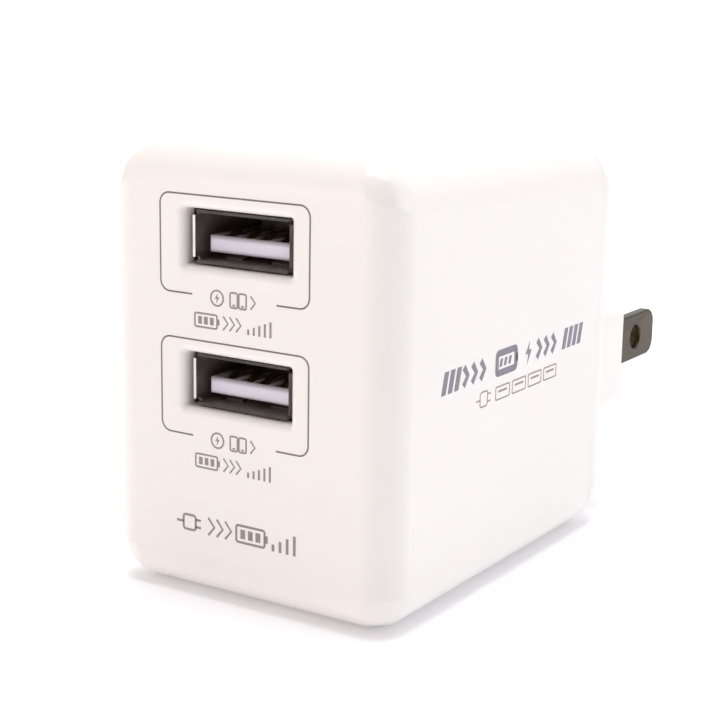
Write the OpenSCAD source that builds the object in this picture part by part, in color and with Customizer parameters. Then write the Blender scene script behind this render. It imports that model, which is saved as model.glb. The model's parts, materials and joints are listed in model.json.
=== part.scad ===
// Folding-plug USB wall charger with two sockets on the front and two on the left side.
// Frame: origin in the middle of the bottom face, +Z up, sockets towards -Y, plug towards +Y.

/* [Body] */
// Width of the body
body_w = 37.4; // [36:0.1:42]
// Depth of the body, front face to rear face
body_d = 53; // [52:0.1:55]
// Height of the body at its front edge
body_h = 50; // [49.5:0.1:54]
// How much lower the top is at the rear edge
top_fall = 1.2; // [0:0.1:1.8]
// Radius of the four upright edges
upright_r = 3.9; // [3:0.1:4.5]
// Radius of the edges round the top and bottom faces
edge_r = 4.8; // [4:0.1:5.2]
// Wall of the housing and of the rear cover
wall = 2; // [1.8:0.1:2.2]

/* [Sockets] */
// Sideways place of the front column, from the middle of the face
front_port_x = -1; // [-1.5:0.1:0]
// Height of the lower socket of each column
port_low_z = 24.7; // [24:0.1:26]
// Distance between the two sockets of a column
port_pitch = 15.6; // [14.5:0.1:16]
// Place of the side column along the depth of the body
side_port_y = 6; // [5:0.1:7]
// How far the metal shells stand behind the face
port_setback = 1.05; // [0.8:0.05:1.2]

/* [Plug] */
// Sideways offset of the plug from the middle of the body
plug_x = 6.8; // [6.6:0.1:7.2]
// Height of the plug's pivot
plug_z = 20.1; // [20:0.1:20.8]
// How far the plug boss stands proud of the rear face
boss_proud = 7; // [6.8:0.1:7.2]
// Length of the blades beyond the boss
blade_reach = 18; // [16.5:0.1:18.2]
// Width of a blade
blade_w = 6.35; // [6.1:0.05:6.6]
// Thickness of a blade
blade_t = 1.5; // [1.4:0.05:1.6]
// Distance between the middles of the blades
blade_gap = 12.7; // [12.5:0.1:12.9]
// Turn of the plug, 0 is out and 90 is folded up
plug_turn = 0; // [0:1:90]

/* [Hidden] */
$fn = 48;
eps = 0.01;

front_y = -body_d / 2;
rear_y = body_d / 2;
side_x = body_w / 2;
seam_y = rear_y - edge_r;
inner_rear_y = rear_y - wall;

// USB-A receptacle
shell_w = 13.1;
shell_h = 5.7;
shell_l = 14;
shell_t = 0.3;
shell_r = 0.6;
tongue_w = 11.1;
tongue_t = 1.84;
tongue_back = 1.5;
tongue_below = 0.7;
rear_block_l = 2.2;
strip_w = 1;
strip_t = 0.2;
strip_back = 0.8;
bump_h = 0.7;
bump_places = [0.3, 2.2, 3.4, 8];
strip_places = [-3.5, -1, 1, 3.5];
tail_l = 1.7;
port_gap_w = 0.4;
port_gap_h = 0.2;

// Plug boss and pivot
face_y = rear_y + boss_proud;
boss_w = 21.4;
boss_h = 12.8;
boss_r = 1.3;
pivot_y = face_y - 5.5;
barrel_r = 4;
barrel_half = 7.7;
trunnion_r = 1.75;
trunnion_l = 1.5;
running_gap = 0.05;
swing_gap = 0.3;
slot_gap = 0.4;
tip_r = 2;
hole_r = 1.59;
hole_to_face = 11.7;
tail_r = 3.85;
flat_depth = 0.4;
flat_half = 4;
groove_top_z = plug_z + face_y + blade_reach - pivot_y + slot_gap;
groove_wall = 1.2;

// Retainer plate that closes the pivot from inside
plate_t = 1.5;
plate_back_y = rear_y - 5.1;
plate_y = plate_back_y + plate_t;
plate_w = 18.4;
plate_h = 15.6;
ear_w = 1.2;
screw_z = 6.2;
screw_r = 0.8;
screw_hole_r = 0.85;
screw_head_r = 1.5;
screw_head_t = 1;
screw_l = 4.2;
pillar_r = 1.7;
leaf_t = 0.35;
leaf_w = 2.6;
leaf_l = 8.4;

// Joint between housing and rear cover
lip_ring_t = 1;
lip_ring_l = 2;
lip_ring_gap = 0.25;

// Boards
board_t = 1.2;
main_board_x = side_x - wall - 0.5 - board_t;
front_board_y = front_y + port_setback + shell_l;
side_board_x = -side_x + port_setback + shell_l;
port_board_z = [port_low_z - 8.5, port_low_z + port_pitch + 5.2];

// Rectangle with round corners, made only of squares and circles
module round_rect(w, h, r) {
  square([w - 2 * r, h], center = true);
  square([w, h - 2 * r], center = true);
  for (sx = [-1, 1], sz = [-1, 1]) {
    translate([sx * (w / 2 - r), sz * (h / 2 - r)]) circle(r = r, $fn = 32);
  }
}

// Side view of the block, whose top slopes down to the rear
module side_outline(d, h, r, fall) {
  front = -d / 2 + r;
  rear = d / 2 - r;
  slope = atan(fall / (d - 2 * r));
  lean = r * sin(slope);
  lift = r * cos(slope);
  polygon([
    [front, 0], [rear, 0], [rear + r, r], [rear + r, h - fall - r],
    [rear + lean, h - fall - r + lift], [front + lean, h - r + lift],
    [front - r, h - r], [front - r, r]
  ]);
  for (y = [front, rear]) {
    translate([y, r]) circle(r = r);
    translate([y, h - r - (y > 0 ? fall : 0)]) circle(r = r);
  }
}

// Block with all its edges rounded: what its top, side and front outlines have in common
module rounded_block(w, d, h, r_up, r_edge, fall) {
  intersection() {
    linear_extrude(h) round_rect(w, d, r_up);
    rotate([90, 0, 90]) linear_extrude(2 * w, center = true) side_outline(d, h, r_edge, fall);
    translate([0, d, h / 2]) rotate([90, 0, 0]) linear_extrude(2 * d) round_rect(w, h, r_edge);
  }
}

module body_outside() {
  rounded_block(body_w, body_d, body_h, upright_r, edge_r, top_fall);
}

module body_inside() {
  translate([0, 0, wall]) {
    rounded_block(body_w - 2 * wall, body_d - 2 * wall, body_h - 2 * wall,
      upright_r - wall / 2, edge_r - wall / 2, top_fall);
  }
}

module band(y_from, y_to) {
  translate([-100, y_from, -100]) cube([200, y_to - y_from, 200]);
}

// Places its children at each front socket, facing -Y with the face at y = 0
module at_front_port(level) {
  translate([front_port_x, front_y, port_low_z + level * port_pitch]) children();
}

module at_side_port(level) {
  translate([-side_x, side_port_y, port_low_z + level * port_pitch]) {
    rotate([0, 0, -90]) children();
  }
}

module port_opening() {
  translate([0, wall * 2, 0]) rotate([90, 0, 0]) {
    linear_extrude(wall * 3) round_rect(shell_w + 2 * port_gap_w, shell_h + 2 * port_gap_h, 0.8);
  }
}

module main_housing() {
  color([0.97, 0.96, 0.96]) difference() {
    intersection() {
      body_outside();
      band(front_y - 1, seam_y);
    }
    body_inside();
    band(seam_y, rear_y + 1);
    for (level = [0, 1]) {
      at_front_port(level) port_opening();
      at_side_port(level) port_opening();
    }
  }
}

// Cuts the pivot bore, its insertion way and the swing slots out of the cover
module pivot_space() {
  translate([plug_x, pivot_y, plug_z]) {
    half = barrel_half + swing_gap;
    rotate([0, 90, 0]) cylinder(r = barrel_r + swing_gap, h = 2 * half, center = true);
    translate([-half, -8, -barrel_r - swing_gap]) cube([2 * half, 8, 2 * (barrel_r + swing_gap)]);
    seat_half = barrel_half + trunnion_l + swing_gap;
    seat_r = trunnion_r + running_gap;
    rotate([0, 90, 0]) cylinder(r = seat_r, h = 2 * seat_half, center = true);
    translate([-seat_half, -8, -seat_r]) cube([2 * seat_half, 8, 2 * seat_r]);
  }
  for (side = [-1, 1]) {
    slot_w = blade_t + 2 * slot_gap;
    edge = blade_w / 2 + slot_gap;
    translate([plug_x + side * blade_gap / 2 - slot_w / 2, pivot_y - edge, plug_z - edge]) {
      cube([slot_w, 20, groove_top_z - plug_z + edge]);
    }
  }
}

// Room for the retainer plate, which also notches the locating lip
module plate_space() {
  room = 0.2;
  translate([plug_x - plate_w / 2 - room, plate_back_y - 3, plug_z - plate_h / 2 - room]) {
    cube([plate_w + 2 * room, plate_t + 3, plate_h + 2 * room]);
  }
}

module plug_boss() {
  y_from = seam_y + 1;
  boss_l = face_y - y_from;
  translate([plug_x, y_from + boss_l / 2, plug_z - boss_h / 2]) {
    rounded_block(boss_w, boss_l, boss_h, boss_r, boss_r, 0);
  }
}

// Frame that follows the inside of the wall, from y_from to y_to
module lip_frame(inset, r, y_from, y_to) {
  rim_h = body_h - top_fall;
  hole_inset = wall + lip_ring_gap + lip_ring_t;
  translate([0, y_to, rim_h / 2]) rotate([90, 0, 0]) linear_extrude(y_to - y_from) {
    difference() {
      round_rect(body_w - 2 * inset, rim_h - 2 * inset, r);
      round_rect(body_w - 2 * hole_inset, rim_h - 2 * hole_inset, edge_r - wall);
    }
  }
}

// Cap with its boss and the locating lip that fits inside the housing
module cover_shell() {
  difference() {
    union() {
      intersection() {
        body_outside();
        band(seam_y, rear_y + 1);
      }
      plug_boss();
    }
    body_inside();
  }
  lip_frame(wall + lip_ring_gap, edge_r - wall / 2, seam_y - lip_ring_l, seam_y + 1);
  lip_frame(wall - 0.5, edge_r - 0.5, seam_y, seam_y + 0.9);
}

// Bosses on the inner face that hold the floors of the two parking grooves
module groove_walls() {
  wall_w = blade_t + 2 * (slot_gap + groove_wall);
  back_y = pivot_y - blade_w / 2 - slot_gap - groove_wall;
  low_z = plug_z + boss_h / 2 - 1;
  for (side = [-1, 1]) {
    translate([plug_x + side * blade_gap / 2 - wall_w / 2, back_y, low_z]) {
      cube([wall_w, inner_rear_y + 0.5 - back_y, groove_top_z + 0.8 - low_z]);
    }
  }
}

module rear_cover() {
  color([0.97, 0.96, 0.96]) difference() {
    union() {
      cover_shell();
      groove_walls();
      for (side = [-1, 1]) {
        translate([plug_x, plate_y, plug_z + side * screw_z]) {
          rotate([-90, 0, 0]) cylinder(r = pillar_r, h = inner_rear_y - plate_y + 1);
        }
      }
    }
    pivot_space();
    plate_space();
    for (side = [-1, 1]) {
      translate([plug_x, plate_y - 1, plug_z + side * screw_z]) {
        rotate([-90, 0, 0]) cylinder(r = screw_hole_r, h = 4.1);
      }
    }
  }
}

// Turns the plug's pieces about the pivot
module plug_swing() {
  translate([plug_x, pivot_y, plug_z]) rotate([plug_turn, 0, 0]) children();
}

module blade_outline() {
  length = face_y + blade_reach - pivot_y;
  half = blade_w / 2;
  translate([0, -half]) square([length - tip_r, blade_w]);
  translate([length - tip_r - eps, -half + tip_r]) square([tip_r + eps, blade_w - 2 * tip_r]);
  for (side = [-1, 1]) {
    translate([length - tip_r, side * (half - tip_r)]) circle(r = tip_r);
  }
  translate([-tail_r, -1.4]) square([tail_r + eps, 2.8]);
}

module blade(side) {
  plug_swing() {
    translate([side * blade_gap / 2, 0, 0]) rotate([90, 0, 90]) {
      linear_extrude(blade_t, center = true) difference() {
        blade_outline();
        translate([face_y - pivot_y + hole_to_face, 0]) circle(r = hole_r);
      }
    }
  }
}

module blade_left() {
  color([0.62, 0.58, 0.54]) blade(-1);
}

module blade_right() {
  color([0.62, 0.58, 0.54]) blade(1);
}

module blade_carrier() {
  color([0.93, 0.92, 0.92]) plug_swing() difference() {
    union() {
      rotate([0, 90, 0]) cylinder(r = barrel_r, h = 2 * barrel_half, center = true);
      rotate([0, 90, 0]) cylinder(r = trunnion_r, h = 2 * (barrel_half + trunnion_l), center = true);
    }
    for (side = [-1, 1]) {
      translate([side * blade_gap / 2 - blade_t / 2, 0, -blade_w / 2]) cube([blade_t, 5, blade_w]);
      translate([side * blade_gap / 2 - blade_t / 2, -5, -1.4]) cube([blade_t, 5 + eps, 2.8]);
    }
    translate([-flat_half, -barrel_r - 1, -5]) cube([2 * flat_half, 1 + flat_depth, 10]);
    translate([-flat_half, -5, barrel_r - flat_depth]) cube([2 * flat_half, 10, 1 + flat_depth]);
  }
}

module pivot_retainer() {
  seat_x = barrel_half + trunnion_l / 2 + swing_gap / 2;
  color([0.2, 0.2, 0.22]) difference() {
    union() {
      translate([plug_x - plate_w / 2, plate_back_y, plug_z - plate_h / 2]) cube([plate_w, plate_t, plate_h]);
      for (side = [-1, 1]) {
        translate([plug_x + side * seat_x - ear_w / 2, plate_y - eps, plug_z - 1.65]) {
          cube([ear_w, pivot_y - plate_y, 3.3]);
        }
      }
    }
    translate([plug_x, pivot_y, plug_z]) rotate([0, 90, 0]) {
      cylinder(r = trunnion_r + running_gap, h = 30, center = true);
    }
    for (side = [-1, 1]) {
      translate([plug_x, plate_back_y - 1, plug_z + side * screw_z]) {
        rotate([-90, 0, 0]) cylinder(r = screw_hole_r, h = plate_t + 2);
      }
      translate([plug_x + side * blade_gap / 2 - 0.8, plate_back_y - 1, plug_z - 5.6]) {
        cube([1.6, plate_t + 2, leaf_t + 0.5]);
      }
    }
  }
}

module retainer_screws() {
  color([0.55, 0.55, 0.57]) for (side = [-1, 1]) {
    translate([plug_x, plate_back_y, plug_z + side * screw_z]) rotate([-90, 0, 0]) {
      cylinder(r = screw_r, h = screw_l);
      difference() {
        translate([0, 0, -screw_head_t]) cylinder(r = screw_head_r, h = screw_head_t);
        for (turn = [0, 90]) rotate([0, 0, turn]) {
          translate([0, 0, -screw_head_t]) cube([2, 0.4, 1], center = true);
        }
      }
    }
  }
}

// Leaf between the plate and the barrel: a foot on the plate and a raised pad behind the barrel
module leaf(width) {
  pad_top = pivot_y - barrel_r - 0.15 - plate_y;
  translate([-width / 2, 0, -leaf_l / 2]) cube([width, leaf_t, leaf_l]);
  difference() {
    translate([0, pad_top - 1.5, 0]) rotate([0, 90, 0]) cylinder(r = 1.5, h = width, center = true);
    translate([-width, pad_top - 8, -4]) cube([2 * width, 8 - pad_top + leaf_t / 2, 8]);
  }
}

module detent_spring() {
  color([0.75, 0.75, 0.76]) translate([plug_x, plate_y, plug_z]) leaf(5);
}

module contact_spring(side) {
  translate([plug_x + side * blade_gap / 2, plate_y, plug_z]) {
    leaf(leaf_w);
    translate([-0.6, -5, -5.4]) cube([1.2, 5 + leaf_t, leaf_t]);
    translate([-0.6, 0, -5.4]) cube([1.2, leaf_t, 1.2]);
  }
}

module contact_spring_left() {
  color([0.78, 0.6, 0.36]) contact_spring(-1);
}

module contact_spring_right() {
  color([0.78, 0.6, 0.36]) contact_spring(1);
}

// One insulated lead per contact spring, from its tail to the main board
module mains_leads() {
  lead_r = 0.7;
  start_z = plug_z - 5.4 - lead_r;
  color([0.2, 0.2, 0.2]) for (side = [-1, 1]) {
    start_x = plug_x + side * blade_gap / 2;
    start_y = plate_back_y - 2.2 - (side + 1) * 0.6;
    translate([start_x, start_y, start_z]) {
      sphere(r = lead_r);
      rotate([0, 90, 0]) cylinder(r = lead_r, h = main_board_x - start_x);
    }
  }
}

// Metal shell of a socket, opening at y = 0 towards -Y
module usb_shell() {
  color([0.5, 0.49, 0.48]) difference() {
    rotate([-90, 0, 0]) linear_extrude(shell_l) round_rect(shell_w, shell_h, shell_r);
    translate([0, -1, 0]) rotate([-90, 0, 0]) linear_extrude(shell_l + 2) {
      round_rect(shell_w - 2 * shell_t, shell_h - 2 * shell_t, shell_r - shell_t + 0.05);
    }
  }
}

module usb_tongue() {
  inner_h = shell_h - 2 * shell_t;
  bottom = -inner_h / 2 + tongue_below;
  color([0.93, 0.93, 0.97]) difference() {
    union() {
      translate([-tongue_w / 2, tongue_back, bottom]) {
        cube([tongue_w, shell_l - tongue_back, tongue_t]);
      }
      translate([-shell_w / 2 + shell_t + 0.15, shell_l - rear_block_l, -inner_h / 2 + 0.1]) {
        cube([shell_w - 2 * shell_t - 0.3, rear_block_l, inner_h - 0.2]);
      }
    }
    strips(0);
  }
}

module strips(extra) {
  top = -(shell_h - 2 * shell_t) / 2 + tongue_below + tongue_t;
  for (x = strip_places) {
    translate([x - strip_w / 2, tongue_back + strip_back, top - strip_t]) {
      cube([strip_w, shell_l - tongue_back - strip_back + extra, strip_t]);
    }
  }
}

// Sprung bump of each contact, which rises from the strip behind the tongue's front edge
module contact_bumps() {
  top = -(shell_h - 2 * shell_t) / 2 + tongue_below + tongue_t;
  foot_z = top - strip_t / 2;
  start = tongue_back + strip_back;
  at = [for (place = bump_places) start + place];
  for (x = strip_places) translate([x, 0, 0]) rotate([90, 0, 90]) {
    linear_extrude(strip_w - 0.2, center = true) polygon([
      [at[0], foot_z], [at[1], top + bump_h], [at[2], top + bump_h], [at[3], foot_z],
      [at[3] - 1, foot_z], [at[2], top + bump_h - strip_t],
      [at[1] + 0.1, top + bump_h - strip_t], [at[0] + 0.5, foot_z]
    ]);
  }
}

module usb_contacts() {
  color([0.8, 0.66, 0.36]) {
    strips(tail_l);
    contact_bumps();
  }
}

module at_port_depth() {
  translate([0, port_setback, 0]) children();
}

module usb_shell_front_upper() {
  at_front_port(1) at_port_depth() usb_shell();
}

module usb_tongue_front_upper() {
  at_front_port(1) at_port_depth() usb_tongue();
}

module usb_contacts_front_upper() {
  at_front_port(1) at_port_depth() usb_contacts();
}

module usb_shell_front_lower() {
  at_front_port(0) at_port_depth() usb_shell();
}

module usb_tongue_front_lower() {
  at_front_port(0) at_port_depth() usb_tongue();
}

module usb_contacts_front_lower() {
  at_front_port(0) at_port_depth() usb_contacts();
}

module usb_shell_side_upper() {
  at_side_port(1) at_port_depth() usb_shell();
}

module usb_tongue_side_upper() {
  at_side_port(1) at_port_depth() usb_tongue();
}

module usb_contacts_side_upper() {
  at_side_port(1) at_port_depth() usb_contacts();
}

module usb_shell_side_lower() {
  at_side_port(0) at_port_depth() usb_shell();
}

module usb_tongue_side_lower() {
  at_side_port(0) at_port_depth() usb_tongue();
}

module usb_contacts_side_lower() {
  at_side_port(0) at_port_depth() usb_contacts();
}

// Slots in a port board where the contact tails pass
module tail_slots() {
  top = -(shell_h - 2 * shell_t) / 2 + tongue_below + tongue_t;
  for (x = strip_places) {
    translate([x - strip_w / 2, shell_l - 1, top - strip_t]) cube([strip_w, board_t + 2, strip_t]);
  }
}

module front_port_board() {
  left = front_port_x - 8;
  color([0.1, 0.35, 0.2]) difference() {
    translate([left, front_board_y, port_board_z[0]]) {
      cube([main_board_x - left, board_t, port_board_z[1] - port_board_z[0]]);
    }
    for (level = [0, 1]) at_front_port(level) at_port_depth() tail_slots();
  }
}

module side_port_board() {
  color([0.1, 0.35, 0.2]) difference() {
    translate([side_board_x, side_port_y - 8, port_board_z[0]]) {
      cube([board_t, 16, port_board_z[1] - port_board_z[0]]);
    }
    for (level = [0, 1]) at_side_port(level) at_port_depth() tail_slots();
  }
}

module main_board() {
  color([0.1, 0.35, 0.2]) translate([main_board_x, front_y + 4, 5]) {
    cube([board_t, seam_y - lip_ring_l - front_y - 4.6, 38]);
  }
}

// Everything on the main board is placed by y and z, and stands h off it towards -X
module on_board(y, z) {
  translate([main_board_x, y, z]) rotate([0, -90, 0]) children();
}

module board_link_pins() {
  reach = main_board_x - side_board_x - board_t;
  color([0.8, 0.66, 0.36]) for (i = [0 : 3]) on_board(side_port_y - 3.8 + i * 2.5, 33.2) {
    cylinder(r = 0.35, h = reach);
  }
}

module port_control_chips() {
  color([0.12, 0.12, 0.13]) {
    translate([8.5, front_board_y - 1.2, 32]) cube([4, 1.2, 5]);
    translate([side_board_x - 1.2, side_port_y - 2.5, port_low_z + port_pitch / 2 - 2]) cube([1.2, 5, 4]);
  }
}

module fuse() {
  color([0.35, 0.27, 0.2]) on_board(-16.4, 7.4) {
    translate([0, 0, 0.6]) cylinder(r = 2.1, h = 8);
    for (y = [-1.2, 1.2]) translate([0, y, 0]) cylinder(r = 0.3, h = 1);
  }
}

module inrush_thermistor() {
  color([0.1, 0.25, 0.15]) on_board(16, 30.6) {
    translate([0, 0, 5.5]) rotate([90, 0, 0]) cylinder(r = 3.6, h = 3, center = true);
    for (x = [-1.8, 1.8]) translate([x, 0, 0]) cylinder(r = 0.3, h = 4.5);
  }
}

module x_capacitor() {
  color([0.85, 0.75, 0.2]) translate([main_board_x - 11, 9.6, 18.6]) cube([10.4, 8.6, 5.6]);
  color([0.7, 0.7, 0.7]) for (y = [11.4, 16.4]) on_board(y, 21.4) cylinder(r = 0.3, h = 1);
}

module choke_core() {
  color([0.2, 0.2, 0.22]) on_board(13.2, 10.4) translate([0, 0, 5.6]) {
    rotate([90, 0, 0]) rotate_extrude() translate([3.2, 0]) square([1.4, 4], center = true);
  }
}

module choke_winding() {
  color([0.7, 0.4, 0.2]) on_board(13.2, 10.4) translate([0, 0, 5.6]) rotate([90, 0, 0]) {
    for (from = [20, 200]) rotate([0, 0, from]) rotate_extrude(angle = 140) {
      translate([3.2, 0]) difference() {
        square([2.6, 5.4], center = true);
        square([1.4, 4], center = true);
      }
    }
  }
}

module bridge_rectifier() {
  color([0.12, 0.12, 0.13]) on_board(10.4, 29.4) {
    translate([-3, -3.2, 0.4]) cube([6, 6.4, 2.6]);
    for (x = [-2.2, 2.2], y = [-2.2, 2.2]) translate([x, y, 0]) cylinder(r = 0.3, h = 1);
  }
}

module bulk_capacitor(y, z) {
  on_board(y, z) {
    color([0.15, 0.15, 0.2]) translate([0, 0, 0.4]) difference() {
      cylinder(r = 4.4, h = 15);
      translate([0, 0, 1.2]) rotate_extrude() translate([4.4, 0]) circle(r = 0.4, $fn = 24);
    }
    for (side = [-1, 1]) translate([0, side * 2.5, 0]) cylinder(r = 0.3, h = 1);
  }
}

module bulk_capacitor_upper() {
  bulk_capacitor(13.4, 39.4);
}

module bulk_capacitor_lower() {
  bulk_capacitor(4, 39.4);
}

module switch_transistor() {
  color([0.12, 0.12, 0.13]) translate([main_board_x - 12.6, -6.1, 34]) cube([10, 3.2, 8.4]);
  color([0.7, 0.7, 0.7]) for (z = [35.6, 38.2, 40.8]) {
    translate([main_board_x - 2.8, -5, z - 0.3]) cube([2.8, 0.5, 0.6]);
  }
}

module heat_spreader() {
  color([0.75, 0.75, 0.76]) difference() {
    translate([main_board_x - 13.6, -7.1, 33.4]) cube([13.6, 1, 9.6]);
    translate([main_board_x - 10.6, -8, 38.2]) rotate([-90, 0, 0]) cylinder(r = 0.9, h = 3);
  }
}

// Transformer: two E-shaped halves whose legs lie along Z, round a bobbin
tr_y = 0.4;
tr_z = 21.2;
tr_h = 13.6;
tr_w = 14;
tr_l = 17;

module at_transformer() {
  translate([main_board_x - 0.8 - tr_h / 2, tr_y, tr_z]) children();
}

module transformer_core() {
  yoke = 2.6;
  depth = 5;
  color([0.22, 0.22, 0.24]) at_transformer() {
    for (side = [-1, 1]) {
      translate([-depth / 2, -tr_w / 2, side * (tr_l - yoke) / 2 - yoke / 2]) cube([depth, tr_w, yoke]);
      translate([-depth / 2, side * (tr_w / 2 - 1.2) - 1.2, -tr_l / 2]) cube([depth, 2.4, tr_l]);
    }
    cylinder(r = 2.2, h = tr_l - 1, center = true);
  }
}

module transformer_bobbin() {
  color([0.15, 0.15, 0.16]) at_transformer() {
    difference() {
      union() {
        cylinder(r = 2.9, h = 11.6, center = true);
        for (side = [-1, 1]) translate([0, 0, side * 5.2]) {
          cube([tr_h, 9, 1], center = true);
        }
      }
      cylinder(r = 2.25, h = 20, center = true);
    }
    for (side = [-1, 1], y = [-3, 0, 3]) {
      translate([tr_h / 2 - 1, y, side * 5.2]) rotate([0, 90, 0]) cylinder(r = 0.3, h = 1.8);
    }
  }
}

module transformer_winding() {
  color([0.9, 0.8, 0.3]) at_transformer() difference() {
    cylinder(r = 4.4, h = 9.3, center = true);
    cylinder(r = 2.95, h = 12, center = true);
  }
}

module y_capacitor() {
  color([0.2, 0.45, 0.75]) on_board(1.4, 8.4) {
    translate([0, 0, 4.6]) rotate([90, 0, 0]) cylinder(r = 3, h = 2.6, center = true);
    for (x = [-1.6, 1.6]) translate([x, 0, 0]) cylinder(r = 0.3, h = 3);
  }
}

module optocoupler() {
  color([0.93, 0.93, 0.9]) on_board(-5.4, 8.4) {
    translate([-2.3, -3.2, 0.4]) cube([4.6, 6.4, 3.2]);
    for (x = [-1.2, 1.2], y = [-2.6, 2.6]) translate([x, y, 0]) cylinder(r = 0.3, h = 1);
  }
}

module sync_rectifier_chip() {
  color([0.12, 0.12, 0.13]) on_board(-15.6, 39.5) translate([-2.5, -3, 0]) cube([5, 6, 1.2]);
}

module output_capacitors() {
  color([0.2, 0.2, 0.5]) for (z = [15.6, 24.4]) on_board(-15.8, z) {
    translate([0, 0, 0.4]) cylinder(r = 3.15, h = 8);
    for (side = [-1, 1]) translate([0, side * 1.2, 0]) cylinder(r = 0.3, h = 1);
  }
}

module output_inductor() {
  color([0.7, 0.4, 0.2]) on_board(-15.8, 32.4) {
    cylinder(r = 3, h = 1);
    translate([0, 0, 1]) cylinder(r = 2.4, h = 4);
    translate([0, 0, 5]) cylinder(r = 3, h = 1);
  }
}

// Folded barrier between the mains parts and the sockets' boards
module insulation_sheet() {
  sheet = 0.3;
  top = 44;
  barrier_x = side_board_x + board_t + 0.8;
  barrier_y = front_board_y + board_t + 1.5;
  color([0.85, 0.85, 0.82]) difference() {
    union() {
      translate([barrier_x, barrier_y, 4.5]) cube([main_board_x - barrier_x - 0.1, sheet, top - 4.5]);
      translate([barrier_x, barrier_y, 4.5]) cube([sheet, 26, top - 4.5]);
    }
    translate([barrier_x - 1, side_port_y - 5, 32]) cube([3, 10, 2.4]);
    translate([main_board_x - 4.2, barrier_y - 1, 5.8]) cube([5, 3, 5.2]);
  }
}

main_housing();
rear_cover();
blade_left();
blade_right();
blade_carrier();
pivot_retainer();
retainer_screws();
detent_spring();
contact_spring_left();
contact_spring_right();
mains_leads();
usb_shell_front_upper();
usb_tongue_front_upper();
usb_contacts_front_upper();
usb_shell_front_lower();
usb_tongue_front_lower();
usb_contacts_front_lower();
usb_shell_side_upper();
usb_tongue_side_upper();
usb_contacts_side_upper();
usb_shell_side_lower();
usb_tongue_side_lower();
usb_contacts_side_lower();
front_port_board();
side_port_board();
main_board();
board_link_pins();
port_control_chips();
fuse();
inrush_thermistor();
x_capacitor();
choke_core();
choke_winding();
bridge_rectifier();
bulk_capacitor_upper();
bulk_capacitor_lower();
switch_transistor();
heat_spreader();
transformer_core();
transformer_bobbin();
transformer_winding();
y_capacitor();
optocoupler();
sync_rectifier_chip();
output_capacitors();
output_inductor();
insulation_sheet();
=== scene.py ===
"""A white USB wall charger: a soft-cornered block with stacked sockets and a folding plug."""

import json
import math

import bmesh
import bpy
from mathutils import Matrix, Vector


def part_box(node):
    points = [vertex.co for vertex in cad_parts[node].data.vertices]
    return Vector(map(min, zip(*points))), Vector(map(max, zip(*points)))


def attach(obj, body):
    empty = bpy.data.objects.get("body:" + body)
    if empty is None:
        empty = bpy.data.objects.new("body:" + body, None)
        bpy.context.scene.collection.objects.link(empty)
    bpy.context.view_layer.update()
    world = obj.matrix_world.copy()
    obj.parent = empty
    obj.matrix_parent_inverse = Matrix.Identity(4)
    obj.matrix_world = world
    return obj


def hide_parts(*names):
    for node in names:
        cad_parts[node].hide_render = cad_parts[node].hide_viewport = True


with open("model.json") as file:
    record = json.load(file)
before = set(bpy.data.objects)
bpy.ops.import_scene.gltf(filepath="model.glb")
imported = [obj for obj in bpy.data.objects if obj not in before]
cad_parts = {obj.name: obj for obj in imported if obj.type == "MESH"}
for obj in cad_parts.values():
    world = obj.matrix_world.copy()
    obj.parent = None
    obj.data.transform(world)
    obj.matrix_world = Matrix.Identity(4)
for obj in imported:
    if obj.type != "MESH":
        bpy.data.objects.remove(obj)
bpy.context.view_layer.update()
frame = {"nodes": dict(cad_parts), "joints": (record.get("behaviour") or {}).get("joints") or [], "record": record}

MM = 0.001
SMOOTH_ANGLE = math.radians(35)

# ---------------------------------------------------------------- sizes from the frame
house_low, house_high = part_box("main_housing")
cover_low, cover_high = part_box("rear_cover")
FRONT_Y = house_low.y
REAR_Y = -FRONT_Y
SEAM_Y = house_high.y
HALF_W = house_high.x
HEIGHT = house_high.z
TOP_FALL = 1.2 * MM
WALL = 2.0 * MM
PIVOT = Vector(frame["joints"][0]["pos_m"])
PLUG_X = PIVOT.x
PLUG_Z = PIVOT.z
FACE_Y = cover_high.y  # outer face of the plug boss

# radii of the housing's edges
R_UPRIGHT = 3.9 * MM
R_BOTTOM = 4.6 * MM
R_TOP_FRONT = 4.1 * MM
R_TOP_SIDE = 5.7 * MM
R_TOP_REAR = 4.8 * MM
EDGE_STEPS = 14
# the skin lies this far inside the CAD faces, and the print stands on it
SKIN = 0.015 * MM
FAR = 0.2  # reach of the cutting blocks, beyond the whole object

# plug boss
BOSS_W = 21.4 * MM
BOSS_H = 12.8 * MM
BOSS_R = 1.3 * MM
SLOT_GAP = 0.4 * MM
BARREL_R = 4.3 * MM
GROOVE_RIB = 1.6 * MM  # wall beside a parking groove
GROOVE_FLOOR = 1.2 * MM  # wall under it

# sockets
PORT_GAP_W = 0.4 * MM
PORT_GAP_H = 0.2 * MM
OPENING_R = 0.3 * MM
OPENING_ROUND = 0.95 * MM
SHELL_T = 0.3 * MM


# ---------------------------------------------------------------- mesh helpers
def link(name, mesh):
    obj = bpy.data.objects.new(name, mesh)
    bpy.context.scene.collection.objects.link(obj)
    return obj


def from_bmesh(name, bm):
    bmesh.ops.recalc_face_normals(bm, faces=bm.faces)
    mesh = bpy.data.meshes.new(name)
    bm.to_mesh(mesh)
    bm.free()
    return link(name, mesh)


def apply_modifiers(obj):
    """Turns obj's modifiers into plain mesh."""
    graph = bpy.context.evaluated_depsgraph_get()
    mesh = bpy.data.meshes.new_from_object(obj.evaluated_get(graph))
    obj.modifiers.clear()
    obj.data = mesh
    return obj


def boolean(obj, other, operation):
    modifier = obj.modifiers.new("cut", "BOOLEAN")
    modifier.operation = operation
    modifier.solver = "EXACT"
    modifier.object = other
    apply_modifiers(obj)
    bpy.data.objects.remove(other)
    return obj


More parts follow.
